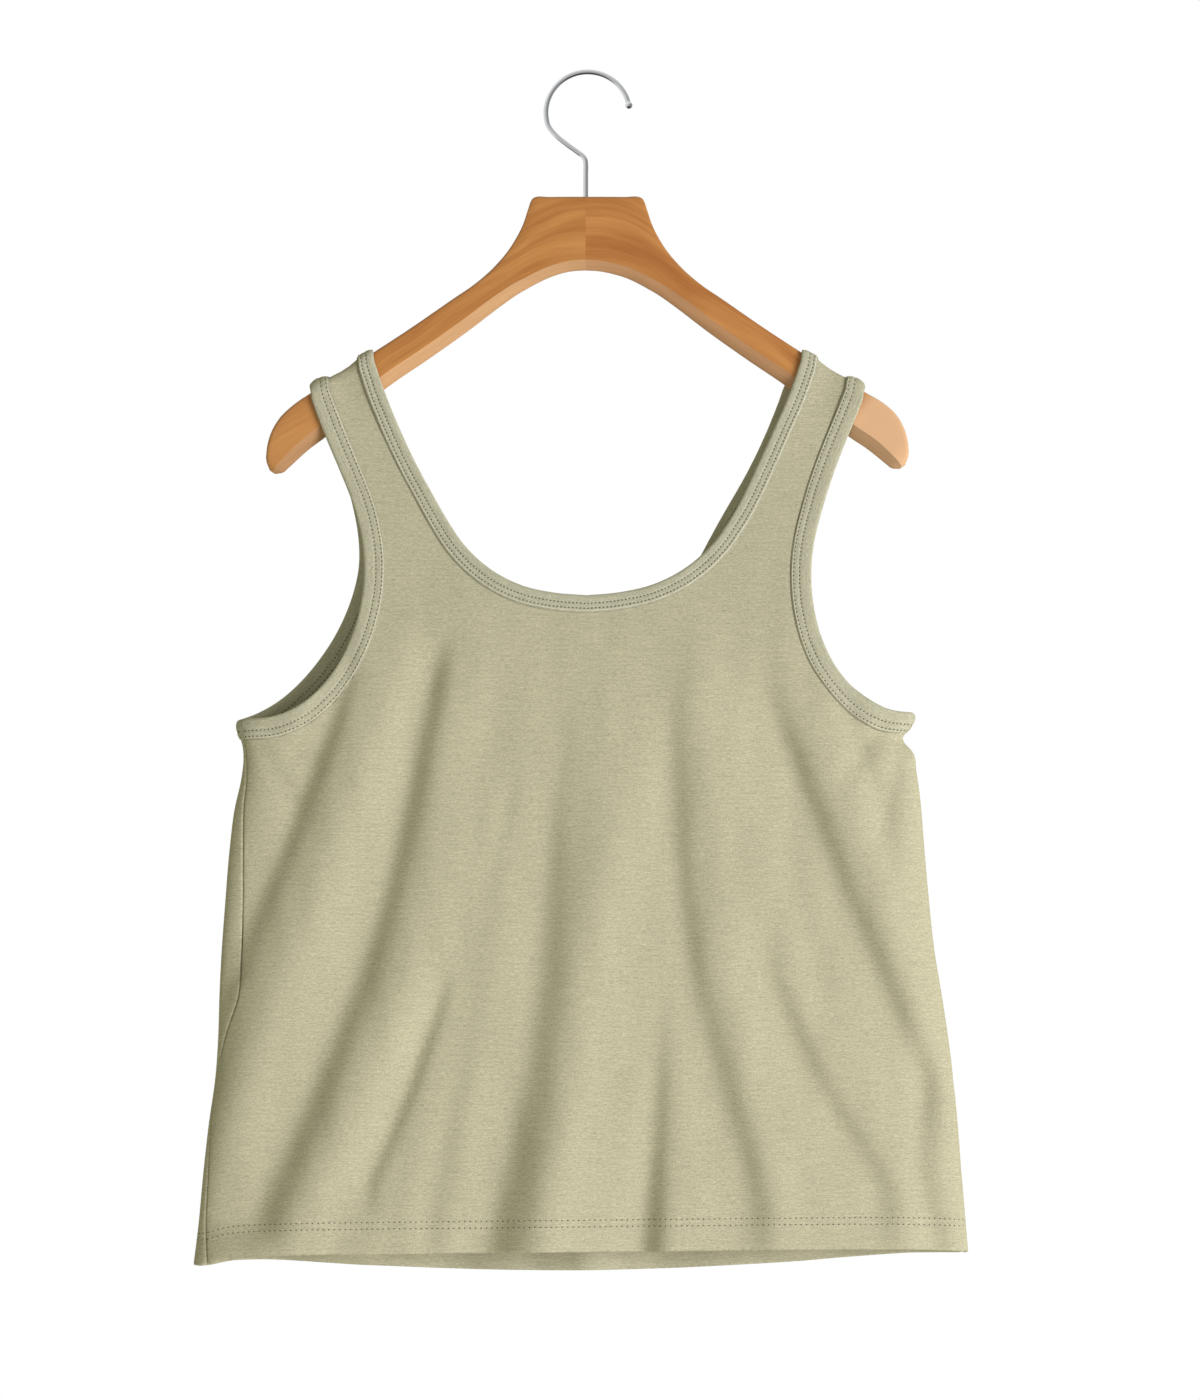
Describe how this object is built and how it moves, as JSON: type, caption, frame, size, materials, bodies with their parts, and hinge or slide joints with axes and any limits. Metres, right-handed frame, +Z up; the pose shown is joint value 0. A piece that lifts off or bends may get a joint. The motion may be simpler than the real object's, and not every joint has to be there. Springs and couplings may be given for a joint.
{
  "type": "tank top on a hanger",
  "caption": "Sleeveless scoop-neck tank top in plain jersey with bound neck and armholes, hung flat on a wooden hanger with a wire hook.",
  "frame": {"origin": "the hook's seat, the inside of the top of its bend, where it rests on a rail", "axes": "+Z up, +X to the viewer's right facing the front of the garment, -Y out of the front"},
  "size_m": [0.4743, 0.0493, 0.7566],
  "materials": {
    "jersey_front": "matt sage-green heather jersey",
    "jersey_back": "matt sage-green heather jersey",
    "jersey_neck_binding": "folded jersey strip",
    "jersey_armhole_binding": "folded jersey strip",
    "hanger_wood": "light brown varnished wood",
    "hook_steel": "polished wire"
  },
  "bodies": {
    "root": {"front_panel": "jersey_front", "back_panel": "jersey_back", "neck_binding": "jersey_neck_binding", "armhole_binding_left": "jersey_armhole_binding", "armhole_binding_right": "jersey_armhole_binding", "hanger_left": "hanger_wood", "hanger_right": "hanger_wood", "hook": "hook_steel"}
  },
  "joints": []
}
